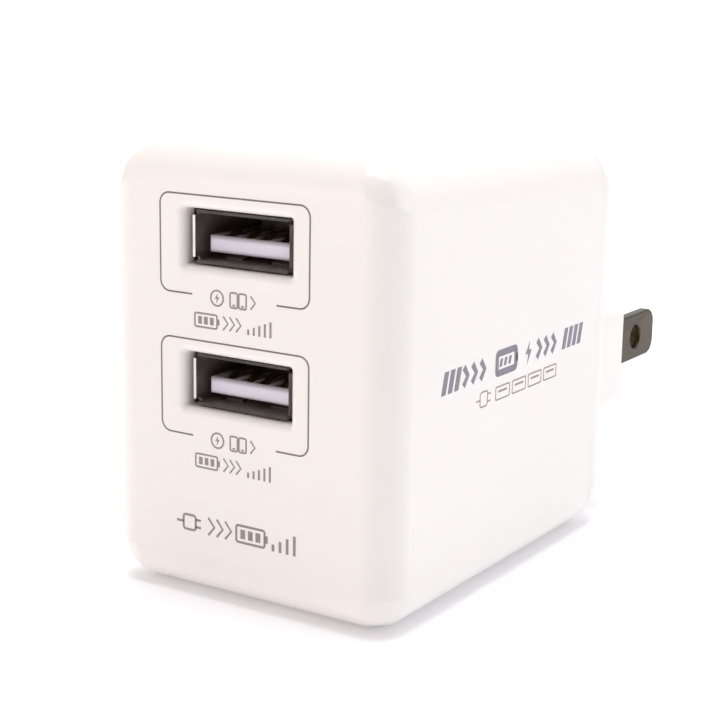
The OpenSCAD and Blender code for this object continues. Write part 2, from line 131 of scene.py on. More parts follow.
def soften(obj, width, steps=3, angle=50):
    """Rounds the sharp edges of a finished shape."""
    modifier = obj.modifiers.new("soften", "BEVEL")
    modifier.width = width
    modifier.segments = steps
    modifier.limit_method = "ANGLE"
    modifier.angle_limit = math.radians(angle)
    modifier.harden_normals = False
    return apply_modifiers(obj)


def shade(obj, angle=SMOOTH_ANGLE):
    """Smooth shading that keeps flat faces flat and sharp edges sharp."""
    obj.data.polygons.foreach_set("use_smooth", [True] * len(obj.data.polygons))
    obj.data.set_sharp_from_angle(angle=angle)
    modifier = obj.modifiers.new("normals", "WEIGHTED_NORMAL")
    modifier.keep_sharp = True
    return obj


def box_bmesh(low, high):
    bm = bmesh.new()
    centre = (Vector(low) + Vector(high)) / 2
    size = Vector(high) - Vector(low)
    matrix = Matrix.Translation(centre) @ Matrix.Diagonal((*size, 1))
    bmesh.ops.create_cube(bm, size=1, matrix=matrix)
    return bm


def block(low, high):
    return from_bmesh("block", box_bmesh(low, high))


def round_rect(width, height, radius, steps=8):
    """Outline points of a rectangle with round corners, centred, counter-clockwise."""
    points = []
    for sx, sy, start in ((1, 1, 0), (-1, 1, 90), (-1, -1, 180), (1, -1, 270)):
        for i in range(steps + 1):
            a = math.radians(start + 90 * i / steps)
            x = sx * (width / 2 - radius) + radius * math.cos(a)
            y = sy * (height / 2 - radius) + radius * math.sin(a)
            points.append((x, y))
    return points


def add_prism(bm, near_points, far_points):
    """Adds the closed solid between two like outlines."""
    near = [bm.verts.new(point) for point in near_points]
    far = [bm.verts.new(point) for point in far_points]
    bm.faces.new(near)
    bm.faces.new(list(reversed(far)))
    for i in range(len(near)):
        j = (i + 1) % len(near)
        bm.faces.new((near[i], far[i], far[j], near[j]))


def slab(bm, outline, y_from, y_to, place):
    """Adds a solid whose outline lies in x and z, running from y_from to y_to."""
    add_prism(
        bm, [place @ Vector((x, y_from, z)) for x, z in outline],
        [place @ Vector((x, y_to, z)) for x, z in outline])


def cylinder_x(radius, x_from, x_to, y, z, steps=48):
    bm = bmesh.new()
    matrix = Matrix.Translation(((x_from + x_to) / 2, y, z)) @ Matrix.Rotation(math.pi / 2, 4, "Y")
    bmesh.ops.create_cone(
        bm, cap_ends=True, segments=steps, radius1=radius, radius2=radius,
        depth=x_to - x_from, matrix=matrix)
    return from_bmesh("cylinder", bm)


def finish_piece(obj, body, slot, material, *nodes):
    """Gives a new piece its material and its body, and hides the CAD nodes it stands for. The slot is not used."""
    obj.data.materials.clear()
    obj.data.materials.append(material)
    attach(obj, body)
    if nodes:
        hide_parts(*nodes)
    return obj


# ---------------------------------------------------------------- materials
def node_set(name):
    material = bpy.data.materials.new(name)
    material.use_nodes = True
    tree = material.node_tree
    shader = tree.nodes["Principled BSDF"]
    return material, tree, shader


def coordinates(tree):
    return tree.nodes.new("ShaderNodeTexCoord").outputs["Object"]


def noise(tree, vector, scale, detail=3.0, roughness=0.5):
    node = tree.nodes.new("ShaderNodeTexNoise")
    node.inputs["Scale"].default_value = scale
    node.inputs["Detail"].default_value = detail
    node.inputs["Roughness"].default_value = roughness
    tree.links.new(vector, node.inputs["Vector"])
    return node.outputs["Fac"]


def ramp(tree, factor, stops):
    node = tree.nodes.new("ShaderNodeValToRGB")
    elements = node.color_ramp.elements
    while len(elements) < len(stops):
        elements.new(0.5)
    for element, (position, colour) in zip(elements, stops):
        element.position = position
        element.color = (*colour, 1)
    tree.links.new(factor, node.inputs["Fac"])
    return node.outputs["Color"]


def value_range(tree, factor, low, high):
    node = tree.nodes.new("ShaderNodeMapRange")
    node.inputs["To Min"].default_value = low
    node.inputs["To Max"].default_value = high
    tree.links.new(factor, node.inputs["Value"])
    return node.outputs["Result"]


def blend(tree, factor, first, second):
    """Colour that goes from first to second as factor goes from 0 to 1."""
    mix = tree.nodes.new("ShaderNodeMix")
    mix.data_type = "RGBA"
    tree.links.new(factor, mix.inputs["Factor"])
    tree.links.new(first, mix.inputs["A"])
    tree.links.new(second, mix.inputs["B"])
    return mix.outputs["Result"]


def multiplied(tree, first, second):
    product = tree.nodes.new("ShaderNodeVectorMath")
    product.operation = "MULTIPLY"
    tree.links.new(first, product.inputs[0])
    tree.links.new(second, product.inputs[1])
    return product.outputs["Vector"]


def bump(tree, shader, height, distance):
    node = tree.nodes.new("ShaderNodeBump")
    node.inputs["Strength"].default_value = 1.0
    node.inputs["Distance"].default_value = distance
    tree.links.new(height, node.inputs["Height"])
    tree.links.new(node.outputs["Normal"], shader.inputs["Normal"])


def paint(tree, shader, factor, stops):
    """Base colour that follows factor through the stops."""
    tree.links.new(ramp(tree, factor, stops), shader.inputs["Base Color"])


def gloss(tree, shader, factor, low, high):
    """Roughness that runs from low to high with factor."""
    tree.links.new(value_range(tree, factor, low, high), shader.inputs["Roughness"])


def stretched(tree, scale):
    """Object coordinates stretched by a different amount along each axis."""
    node = tree.nodes.new("ShaderNodeMapping")
    node.inputs["Scale"].default_value = scale
    tree.links.new(coordinates(tree), node.inputs["Vector"])
    return node.outputs["Vector"]


def plastic(name, dark, light, rough=(0.3, 0.38), grain=9000.0, depth=0.4e-6, skin=False):
    """Moulded plastic: faint colour drift, a fine spark-eroded grain and uneven gloss.

    The outer skin also has a thin clear sheen and lets a little light through.
    """
    material, tree, shader = node_set(name)
    place = coordinates(tree)
    drift = noise(tree, place, 45.0, 4.0)
    paint(tree, shader, drift, [(0.3, dark), (0.7, light)])
    gloss(tree, shader, noise(tree, place, 160.0, 5.0), *rough)
    bump(tree, shader, noise(tree, place, grain, 2.0), depth)
    shader.inputs["Coat Roughness"].default_value = 0.12
    if skin:
        shader.inputs["Coat Weight"].default_value = 0.15
        shader.inputs["Subsurface Weight"].default_value = 0.1
        shader.inputs["Subsurface Radius"].default_value = (1.0, 0.75, 0.65)
        shader.inputs["Subsurface Scale"].default_value = 0.0012
    return material


def metal(name, dark, light, rough=(0.2, 0.4), grain=(300.0, 6000.0, 6000.0), depth=1.5e-6):
    """Rolled or plated metal: drawn grain along one axis, stains and uneven polish."""
    material, tree, shader = node_set(name)
    shader.inputs["Metallic"].default_value = 1.0
    grain_noise = noise(tree, stretched(tree, grain), 1.0, 4.0)
    stain = noise(tree, coordinates(tree), 380.0, 5.0)
    paint(tree, shader, stain, [(0.25, dark), (0.75, light)])
    gloss(tree, shader, grain_noise, *rough)
    bump(tree, shader, grain_noise, depth)
    return material


def socket_metal(name):
    """Plated steel: brown inside, with painted shade on its rim and a painted highlight on its left lip."""
    material, tree, shader = node_set(name)
    shader.inputs["Metallic"].default_value = 0.55
    grain_noise = noise(tree, stretched(tree, (6000.0, 300.0, 6000.0)), 1.0, 4.0)
    stain = noise(tree, coordinates(tree), 420.0, 5.0)
    inside = ramp(tree, stain, [(0.25, (0.2, 0.17, 0.15)), (0.75, (0.34, 0.3, 0.275))])
    # painted highlight on the shell's left lip
    mouth = ramp(tree, stain, [(0.25, (0.62, 0.6, 0.58)), (0.75, (0.8, 0.78, 0.76))])
    attribute = tree.nodes.new("ShaderNodeAttribute")
    attribute.attribute_name = "mouth"
    # painted shade on the rest of the shell's rim
    rim = ramp(tree, stain, [(0.25, (0.035, 0.03, 0.027)), (0.75, (0.075, 0.066, 0.06))])
    colour = blend(tree, value_range(tree, attribute.outputs["Fac"], 0.0, 2.0), inside, rim)
    bright = tree.nodes.new("ShaderNodeMapRange")
    bright.inputs["From Min"].default_value = 0.5
    tree.links.new(attribute.outputs["Fac"], bright.inputs["Value"])
    tree.links.new(blend(tree, bright.outputs["Result"], colour, mouth), shader.inputs["Base Color"])
    gloss(tree, shader, grain_noise, 0.25, 0.42)
    bump(tree, shader, grain_noise, 1.2e-6)
    return material


def tongue_material(name):
    """Lavender-white plastic with painted shade that darkens it towards the back of its shell."""
    material, tree, shader = node_set(name)
    place = coordinates(tree)
    drift = noise(tree, place, 220.0, 5.0)
    unshaded_tone = ramp(tree, drift, [(0.3, (0.74, 0.72, 0.84)), (0.7, (0.82, 0.8, 0.91))])
    # painted shade: the darker tone the tongue takes towards the back of the shell
    painted_shade_tone = ramp(tree, drift, [(0.3, (0.3, 0.27, 0.25)), (0.7, (0.42, 0.38, 0.355))])
    attribute = tree.nodes.new("ShaderNodeAttribute")
    attribute.attribute_name = "depth"
    tree.links.new(blend(tree, attribute.outputs["Fac"], unshaded_tone, painted_shade_tone), shader.inputs["Base Color"])
    gloss(tree, shader, noise(tree, place, 700.0, 3.0), 0.35, 0.48)
    bump(tree, shader, noise(tree, place, 12000.0, 2.0), 0.5e-6)
    return material


def ink(name, colour):
    """Pad-printed ink: nearly even, with a slightly broken film."""
    material, tree, shader = node_set(name)
    film = noise(tree, coordinates(tree), 2600.0, 3.0)
    lighter = [min(1.0, c * 1.25 + 0.02) for c in colour]
    paint(tree, shader, film, [(0.35, colour), (0.8, lighter)])
    gloss(tree, shader, film, 0.4, 0.6)
    return material


def circuit_board(name):
    """Green solder mask over copper tracks, with bare pads."""
    material, tree, shader = node_set(name)
    place = coordinates(tree)
    bricks = tree.nodes.new("ShaderNodeTexBrick")
    bricks.inputs["Scale"].default_value = 260.0
    bricks.inputs["Mortar Size"].default_value = 0.035
    bricks.inputs["Color1"].default_value = (0.02, 0.16, 0.06, 1)
    bricks.inputs["Color2"].default_value = (0.03, 0.2, 0.08, 1)
    bricks.inputs["Mortar"].default_value = (0.05, 0.3, 0.12, 1)
    tree.links.new(place, bricks.inputs["Vector"])
    tree.links.new(bricks.outputs["Color"], shader.inputs["Base Color"])
    gloss(tree, shader, noise(tree, place, 900.0), 0.25, 0.45)
    bump(tree, shader, bricks.outputs["Fac"], 2e-5)
    return material


def wound(name, dark, light, pitch):
    """Wire wound in turns, or tape wrapped over them."""
    material, tree, shader = node_set(name)
    wave = tree.nodes.new("ShaderNodeTexWave")
    wave.bands_direction = "Z"
    wave.inputs["Scale"].default_value = 1 / pitch / math.tau * 2
    wave.inputs["Distortion"].default_value = 1.5
    tree.links.new(coordinates(tree), wave.inputs["Vector"])
    paint(tree, shader, wave.outputs["Fac"], [(0.2, dark), (0.8, light)])
    gloss(tree, shader, wave.outputs["Fac"], 0.25, 0.5)
    bump(tree, shader, wave.outputs["Fac"], 5e-5)
    return material


MATERIALS = {
    "housing_white": plastic(
        "housing_plastic", (0.885, 0.852, 0.828), (0.908, 0.876, 0.851), skin=True),
    "carrier_white": plastic("carrier_plastic", (0.8, 0.78, 0.78), (0.84, 0.82, 0.82), (0.4, 0.5)),
    "blade_nickel": metal(
        "blade_nickel", (0.048, 0.036, 0.02), (0.078, 0.06, 0.035), (0.28, 0.42)),
    "bracket_black": plastic(
        "bracket_black", (0.02, 0.02, 0.022), (0.035, 0.035, 0.04), (0.5, 0.65)),
    "screw_steel": metal("screw_steel", (0.5, 0.5, 0.52), (0.68, 0.68, 0.7)),
    "spring_bronze": metal("spring_bronze", (0.6, 0.38, 0.2), (0.8, 0.55, 0.3)),
    "lead_insulation": plastic(
        "lead_insulation", (0.02, 0.02, 0.02), (0.04, 0.04, 0.04), (0.35, 0.5)),
    "socket_steel": socket_metal("socket_steel"),
    "tongue_plastic": tongue_material("tongue_plastic"),
    # the contacts' gold is darkened, as painted shade for the inside of the socket
    "contact_gold": metal("contact_gold", (0.1, 0.07, 0.04), (0.24, 0.17, 0.09)),
    "board_green": circuit_board("board_green"),
    "chip_black": plastic(
        "chip_black", (0.012, 0.012, 0.013), (0.03, 0.03, 0.03), (0.45, 0.6), 20000.0),
    "fuse_brown": plastic("fuse_brown", (0.1, 0.05, 0.025), (0.16, 0.08, 0.04), (0.3, 0.45)),
    "thermistor_green": plastic(
        "thermistor_green", (0.01, 0.05, 0.02), (0.02, 0.09, 0.04), (0.3, 0.5), 3000.0, 2e-6),
    "x_cap_yellow": plastic("x_cap_yellow", (0.6, 0.42, 0.04), (0.7, 0.52, 0.07), (0.35, 0.5)),
    "ferrite_grey": plastic(
        "ferrite_grey", (0.035, 0.035, 0.038), (0.07, 0.07, 0.075), (0.55, 0.75), 4000.0, 5e-6),
    "copper_wire": wound("copper_wire", (0.3, 0.09, 0.03), (0.75, 0.3, 0.12), 0.35 * MM),
    "capacitor_sleeve": plastic(
        "capacitor_sleeve", (0.01, 0.01, 0.03), (0.02, 0.02, 0.06), (0.15, 0.25)),
    "spreader_aluminium": metal("spreader_aluminium", (0.6, 0.6, 0.62), (0.78, 0.78, 0.8)),
    "bobbin_black": plastic(
        "bobbin_black", (0.012, 0.012, 0.013), (0.03, 0.03, 0.03), (0.4, 0.55)),
    "tape_yellow": wound("tape_yellow", (0.65, 0.42, 0.02), (0.8, 0.6, 0.06), 1.6 * MM),
    "y_cap_blue": plastic(
        "y_cap_blue", (0.02, 0.08, 0.3), (0.04, 0.14, 0.42), (0.2, 0.35), 3000.0, 2e-6),
    "opto_cream": plastic("opto_cream", (0.72, 0.68, 0.56), (0.8, 0.77, 0.66), (0.45, 0.6)),
    "barrier_sheet": plastic("barrier_sheet", (0.68, 0.68, 0.62), (0.76, 0.76, 0.7), (0.4, 0.55)),
}
PRINT_DARK = ink("print_dark", (0.15, 0.12, 0.115))
PRINT_GREY = ink("print_grey", (0.26, 0.22, 0.215))
PRINT_BLUE = ink("print_blue", (0.2, 0.19, 0.235))

for part in frame["record"]["subparts"]:
    cad_node = frame["nodes"][part["node"]]
    cad_node.data.materials.clear()
    cad_node.data.materials.append(MATERIALS[part["material_slot"]])


# ---------------------------------------------------------------- housing and rear cover
def edge_radius(low, high):
    """Radius that the block's edge between two corners is rounded to."""
    upright = abs(low.x - high.x) < 1e-6 and abs(low.y - high.y) < 1e-6
    if upright:
        return R_UPRIGHT
    if low.z < HEIGHT / 2:
        return R_BOTTOM
    if abs(low.y - high.y) > 1e-6:
        return R_TOP_SIDE
    return R_TOP_FRONT if low.y < 0 else R_TOP_REAR


def body_block(inset, name):
    """The block with its rounded edges, smaller all round by inset."""
    x = HALF_W - inset
    y = REAR_Y - inset
    bm = bmesh.new()
    corners = {}
    for sx in (-1, 1):
        for sy in (-1, 1):
            top = HEIGHT - inset - (TOP_FALL if sy > 0 else 0)
            corners[sx, sy, 0] = bm.verts.new((sx * x, sy * y, inset))
            corners[sx, sy, 1] = bm.verts.new((sx * x, sy * y, top))
    ring = ((-1, -1), (1, -1), (1, 1), (-1, 1))
    bm.faces.new([corners[sx, sy, 0] for sx, sy in reversed(ring)])
    bm.faces.new([corners[sx, sy, 1] for sx, sy in ring])
    for i in range(4):
        a, b = ring[i], ring[(i + 1) % 4]
        bm.faces.new((corners[*a, 0], corners[*b, 0], corners[*b, 1], corners[*a, 1]))
    weight = bm.edges.layers.float.new("bevel_weight_edge")
    for edge in bm.edges:
        a, b = edge.verts
        edge[weight] = (edge_radius(a.co, b.co) - inset * 0.6) / R_TOP_SIDE
    obj = from_bmesh(name, bm)
    modifier = obj.modifiers.new("round", "BEVEL")
    modifier.limit_method = "WEIGHT"
    modifier.width = R_TOP_SIDE
    modifier.segments = EDGE_STEPS
    modifier.profile = 0.5
    return apply_modifiers(obj)


def port_frame(node):
    """Matrix that puts a socket's own frame, opening at y = 0 towards -Y, at a CAD shell."""
    low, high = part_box(node)
    centre = (low + high) / 2
    if "front" in node:
        return Matrix.Translation((centre.x, low.y, centre.z))
    return Matrix.Translation((low.x, centre.y, centre.z)) @ Matrix.Rotation(-math.pi / 2, 4, "Z")


PORTS = {
    f"{face}_{level}": port_frame(f"usb_shell_{face}_{level}")
    for face in ("front", "side") for level in ("upper", "lower")
}
shell_low, shell_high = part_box("usb_shell_front_upper")
SHELL_W = shell_high.x - shell_low.x
SHELL_H = shell_high.z - shell_low.z
SHELL_L = shell_high.y - shell_low.y


def round_opening_edges(obj):
    """Rounds the outer rims of the socket openings."""
    bm = bmesh.new()
    bm.from_mesh(obj.data)
    chosen = []
    for edge in bm.edges:
        for frame_matrix in PORTS.values():
            inverse = frame_matrix.inverted()
            a, b = (inverse @ v.co for v in edge.verts)
            wide = SHELL_W / 2 + PORT_GAP_W + 0.05 * MM
            tall = SHELL_H / 2 + PORT_GAP_H + 0.05 * MM
            on_face = all(-1.2 * MM < p.y < -0.9 * MM for p in (a, b))
            inside = all(abs(p.x) < wide and abs(p.z) < tall for p in (a, b))
            if on_face and inside:
                chosen.append(edge)
    bmesh.ops.bevel(
        bm, geom=chosen, offset=OPENING_ROUND, segments=8, profile=0.5, affect="EDGES",
        clamp_overlap=False)
    bm.to_mesh(obj.data)
    bm.free()
    return obj


def cut_openings(obj):
    outline = round_rect(SHELL_W + 2 * PORT_GAP_W, SHELL_H + 2 * PORT_GAP_H, OPENING_R)
    for place in PORTS.values():
        bm = bmesh.new()
        slab(bm, outline, -3 * MM, 3 * MM, place)
        boolean(obj, from_bmesh("opening", bm), "DIFFERENCE")
    return round_opening_edges(obj)


def soften_seam(obj, width=0.02 * MM):
    """Breaks the outer edge where the housing and the cover meet."""
    bm = bmesh.new()
    bm.from_mesh(obj.data)
    chosen = []
    for edge in bm.edges:
        if all(abs(v.co.y - SEAM_Y) < 1e-6 for v in edge.verts) and len(edge.link_faces) == 2:
            across = [f for f in edge.link_faces if abs(f.normal.y) < 0.5]
            if len(across) == 1:
                middle = (edge.verts[0].co + edge.verts[1].co) / 2
                outward = Vector((middle.x, 0, middle.z - HEIGHT / 2))
                if across[0].normal.dot(outward) > 0:
                    chosen.append(edge)
    bmesh.ops.bevel(bm, geom=chosen, offset=width, segments=2, profile=0.5, affect="EDGES")
    bm.to_mesh(obj.data)
    bm.free()
    return obj


def make_housing():
    obj = body_block(SKIN, "housing")
    boolean(obj, body_block(WALL, "inside"), "DIFFERENCE")
    cut_openings(obj)
    boolean(obj, block((-FAR, SEAM_Y, -FAR), (FAR, FAR, FAR)), "DIFFERENCE")
    soften_seam(obj)
    finish_piece(obj, "charger", "housing_white", MATERIALS["housing_white"], "main_housing")
    return shade(obj)


def plug_slots():
    """Cutters for the swing slots and the two parking grooves of the blades."""
    cutters = []
    for node in ("blade_left", "blade_right"):
        low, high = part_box(node)
        edge = (high.z - low.z) / 2 + SLOT_GAP
        top = PLUG_Z + high.y - PIVOT.y + SLOT_GAP
        corner = (low.x - SLOT_GAP, PIVOT.y - edge, PLUG_Z - edge)
        cutters.append(block(corner, (high.x + SLOT_GAP, FAR, top)))
    return cutters


def make_boss():
    obj = block(
        (PLUG_X - BOSS_W / 2, REAR_Y - 3 * MM, PLUG_Z - BOSS_H / 2),
        (PLUG_X + BOSS_W / 2, FACE_Y, PLUG_Z + BOSS_H / 2))
    return soften(obj, BOSS_R, 8)


def make_rear_cover():
    obj = body_block(SKIN, "rear_cover_skin")
    boolean(obj, block((-FAR, -FAR, -FAR), (FAR, SEAM_Y, FAR)), "DIFFERENCE")
    soften_seam(obj)
    boolean(obj, make_boss(), "UNION")
    hollow = body_block(WALL, "hollow")
    boolean(obj, hollow, "DIFFERENCE")
    for node in ("blade_left", "blade_right"):
        low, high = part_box(node)
        floor_y = PIVOT.y - (high.z - low.z) / 2 - SLOT_GAP - GROOVE_FLOOR
        top = PLUG_Z + high.y - PIVOT.y + 0.6 * MM
        corner = (low.x - GROOVE_RIB, floor_y, PLUG_Z + BOSS_H / 2 - 1 * MM)
        boolean(obj, block(corner, (high.x + GROOVE_RIB, REAR_Y - 1.5 * MM, top)), "UNION")
    barrel_low, barrel_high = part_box("blade_carrier")
    half = (barrel_high.x - barrel_low.x) / 2 - 1.2 * MM
    boolean(obj, cylinder_x(BARREL_R, PLUG_X - half, PLUG_X + half, PIVOT.y, PLUG_Z), "DIFFERENCE")
    way_in = block(
        (PLUG_X - half, REAR_Y - 5 * MM, PLUG_Z - BARREL_R),
        (PLUG_X + half, PIVOT.y, PLUG_Z + BARREL_R))
    boolean(obj, way_in, "DIFFERENCE")
    for cutter in plug_slots():
        boolean(obj, cutter, "DIFFERENCE")
    finish_piece(obj, "charger", "housing_white", MATERIALS["housing_white"], "rear_cover")
    return shade(obj)


# ---------------------------------------------------------------- sockets
LIP_DEPTH = 0.9 * MM
LIP_TURN_IN = 0.12 * MM
TAB_INNER = 1.9 * MM
TAB_OUTER = 4.1 * MM
TAB_GAP = 0.3 * MM
TAB_FRONT = 2.9 * MM
TAB_BACK = 8.2 * MM
TAB_DIP = 0.42 * MM
TAB_LOWEST = 4.4 * MM  # depth at which a tab dips furthest
TAB_RISE = 2.2 * MM


def make_shell(port, place):
    """Folded steel shell with flared lips at its mouth and sprung tabs top and bottom."""
    half_w, half_h = SHELL_W / 2, SHELL_H / 2
    radius = 0.6 * MM
    along = [0, TAB_INNER - TAB_GAP, TAB_INNER, TAB_OUTER, TAB_OUTER + TAB_GAP, half_w - radius]
    xs = sorted({-a for a in along} | set(along))
    flat_w, flat_h = half_w - radius, half_h - radius

    def corner(sx, sz, start):
        angles = [math.radians(start + 15 * i) for i in range(1, 6)]
        return [(sx * flat_w + radius * math.cos(a), sz * flat_h + radius * math.sin(a), "corner")
                for a in angles]

    heights = [-flat_h + k * 2 * flat_h / 6 for k in range(7)]
    ring = [(x, -half_h, "bottom") for x in xs] + corner(1, -1, -90)
    ring += [(half_w, z, "right") for z in heights] + corner(1, 1, 0)
    ring += [(x, half_h, "top") for x in reversed(xs)] + corner(-1, 1, 90)
    ring += [(-half_w, z, "left") for z in reversed(heights)] + corner(-1, -1, 180)
    outward = {"bottom": (0, -1), "top": (0, 1), "left": (-1, 0), "right": (1, 0), "corner": (0, 0)}
    depths = [
        0, 0.08 * MM, 0.3 * MM, 0.6 * MM, LIP_DEPTH, 1.5 * MM, TAB_FRONT - TAB_GAP, TAB_FRONT,
        3.6 * MM, TAB_LOWEST, 6 * MM, TAB_BACK, 11 * MM, SHELL_L]

    def in_tab(x):
        return TAB_INNER - 1e-9 <= abs(x) <= TAB_OUTER + 1e-9

    bm = bmesh.new()
    rows = []
    for depth in depths:
        row = []
        for x, z, side in ring:
            out = Vector((outward[side][0], 0, outward[side][1]))
            turn_in = LIP_TURN_IN * max(0.0, 1 - depth / LIP_DEPTH) ** 1.4
            point = Vector((x, depth, z)) - out * (turn_in if side in ("left", "right") else 0)
            if side in ("bottom", "top") and in_tab(x) and TAB_FRONT <= depth < TAB_BACK:
                share = 1 - (depth - TAB_LOWEST) / (TAB_BACK - TAB_LOWEST)
                if depth < TAB_LOWEST:
                    share = 1 - (TAB_LOWEST - depth) / TAB_RISE
                point -= out * TAB_DIP * max(0.0, share)
            row.append(bm.verts.new(point))
        rows.append(row)
    count = len(ring)
    for r in range(len(depths) - 1):
        middle = (depths[r] + depths[r + 1]) / 2
        for i in range(count):
            j = (i + 1) % count
            sides = {ring[i][2], ring[j][2]}
            if middle < LIP_DEPTH and "corner" in sides:
                continue
            flat = sides == {"bottom"} or sides == {"top"}
            x_middle = (abs(ring[i][0]) + abs(ring[j][0])) / 2
            beside = (
                TAB_INNER - TAB_GAP < x_middle < TAB_INNER
                or TAB_OUTER < x_middle < TAB_OUTER + TAB_GAP)
            if flat and beside and TAB_FRONT - TAB_GAP < middle < TAB_BACK:
                continue
            before = TAB_INNER < x_middle < TAB_OUTER and TAB_FRONT - TAB_GAP < middle < TAB_FRONT
            if flat and before:
                continue
            bm.faces.new((rows[r][i], rows[r][j], rows[r + 1][j], rows[r + 1][i]))
    bmesh.ops.delete(bm, geom=[v for v in bm.verts if not v.link_faces], context="VERTS")
    bm.transform(place)
    bmesh.ops.recalc_face_normals(bm, faces=bm.faces)
    mesh = bpy.data.meshes.new(f"shell_{port}")
    bm.to_mesh(mesh)
    bm.free()
    obj = link(f"shell_{port}", mesh)
    mark_mouth(obj, place, -half_w + radius, half_h - radius)
    middle = place @ Vector((0, 5 * MM, 0))
    first = mesh.polygons[0]
    away = (first.center - middle).dot(first.normal)
    modifier = obj.modifiers.new("sheet", "SOLIDIFY")
    modifier.thickness = SHELL_T
    modifier.offset = -1 if away > 0 else 1
    modifier.use_even_offset = True
    apply_modifiers(obj)
    finish_piece(obj, "charger", "socket_steel", MATERIALS["socket_steel"], f"usb_shell_{port}")
    return shade(obj)


def mark_mouth(obj, place, left_limit, height_limit):
    """Marks the rim of a shell for its material: 0.5 all round, where shade is painted, and 1 on its left lip,
    where a highlight is painted.
    """
    attribute = obj.data.attributes.new("mouth", "FLOAT", "POINT")
    inverse = place.inverted()
    for vertex in obj.data.vertices:
        point = inverse @ vertex.co
        mark = 1.0 if point.x < left_limit and abs(point.z) < height_limit + 1e-6 else 0.5
        attribute.data[vertex.index].value = mark if point.y < 0.04 * MM else 0.0


def cut_across(obj, place, depths):
    """Adds edges round obj at some depths, so that its marks can change there."""
    bm = bmesh.new()
    bm.from_mesh(obj.data)
    normal = (place.to_3x3() @ Vector((0, 1, 0))).normalized()
    for depth in depths:
        everything = bm.verts[:] + bm.edges[:] + bm.faces[:]
        bmesh.ops.bisect_plane(
            bm, geom=everything, plane_co=place @ Vector((0, depth, 0)), plane_no=normal)
    bm.to_mesh(obj.data)
    bm.free()


def mark_depth(obj, place, y_zero, y_one):
    """Stores on a tongue how far back each point is, from 0 to 1."""
    attribute = obj.data.attributes.new("depth", "FLOAT", "POINT")
    inverse = place.inverted()
    for vertex in obj.data.vertices:
        share = ((inverse @ vertex.co).y - y_zero) / (y_one - y_zero)
        attribute.data[vertex.index].value = min(1.0, max(0.0, share))


TONGUE_W = 11.0 * MM
TONGUE_T = 1.84 * MM
TONGUE_BACK = 1.5 * MM
TONGUE_BELOW = 0.7 * MM
STRIPS = [-3.5 * MM, -1.0 * MM, 1.0 * MM, 3.5 * MM]
STRIP_W = 1.0 * MM
STRIP_START = 0.8 * MM
CHANNEL_W = 1.6 * MM
CHANNEL_DEPTH = 0.62 * MM
REAR_BLOCK = 2.2 * MM  # length of the block that closes the back of the shell
# depths at which the painted shade on the tongue starts and is full
PAINTED_SHADE_FRONT = 2.05 * MM
PAINTED_SHADE_BACK = 4.5 * MM
CONTACT_T = 0.15 * MM
# the sprung wave of a contact: mm behind its tip, mm above the tongue's face
CONTACT_WAVE = [
    (0, -0.4), (0.3, -0.3), (0.9, 0.02), (1.6, 0.42), (2.2, 0.62),
    (2.8, 0.69), (3.5, 0.62), (5.5, 0.25), (7.6, -0.1)]


def tongue_levels():
    bottom = -(SHELL_H / 2 - SHELL_T) + TONGUE_BELOW
    return bottom, bottom + TONGUE_T


def chamfered_box(low, high, front, other, place, name):
    """A box whose front edges (at low y) are cut back by front and its other edges by other."""
    bm = box_bmesh(low, high)
    weight = bm.edges.layers.float.new("bevel_weight_edge")
    widest = max(front, other)
    for edge in bm.edges:
        at_front = all(abs(v.co.y - low[1]) < 1e-7 for v in edge.verts)
        edge[weight] = (front if at_front else other) / widest
    obj = from_bmesh(name, bm)
    modifier = obj.modifiers.new("edges", "BEVEL")
    modifier.limit_method = "WEIGHT"
    modifier.width = widest
    modifier.segments = 3
    apply_modifiers(obj)
    obj.data.transform(place)
    return obj


def make_tongue(port, place):
    """Plastic tongue with four contact channels and the block at the back of the shell."""
    bottom, top = tongue_levels()
    obj = chamfered_box(
        (-TONGUE_W / 2, TONGUE_BACK, bottom), (TONGUE_W / 2, SHELL_L - 1 * MM, top),
        0.5 * MM, 0.0, place, f"tongue_{port}")
    cut_across(obj, place, (PAINTED_SHADE_FRONT, PAINTED_SHADE_BACK))
    half_w = SHELL_W / 2 - SHELL_T - 0.15 * MM
    half_h = SHELL_H / 2 - SHELL_T - 0.1 * MM
    rear = chamfered_box(
        (-half_w, SHELL_L - REAR_BLOCK, -half_h), (half_w, SHELL_L, half_h),
        0.2 * MM, 0.1 * MM, place, "rear")
    boolean(obj, rear, "UNION")
    for x in STRIPS:
        half = CHANNEL_W / 2
        channel = block(
            (x - half, TONGUE_BACK + STRIP_START - 0.1 * MM, top - CHANNEL_DEPTH),
            (x + half, SHELL_L - REAR_BLOCK + 0.15 * MM, top + 1 * MM))
        channel.data.transform(place)
        boolean(obj, channel, "DIFFERENCE")
    # the share stored here sets how much painted shade the tongue's colour takes
    mark_depth(obj, place, PAINTED_SHADE_FRONT, PAINTED_SHADE_BACK)
    finish_piece(obj, "charger", "tongue_plastic", MATERIALS["tongue_plastic"], f"usb_tongue_{port}")
    return shade(obj)


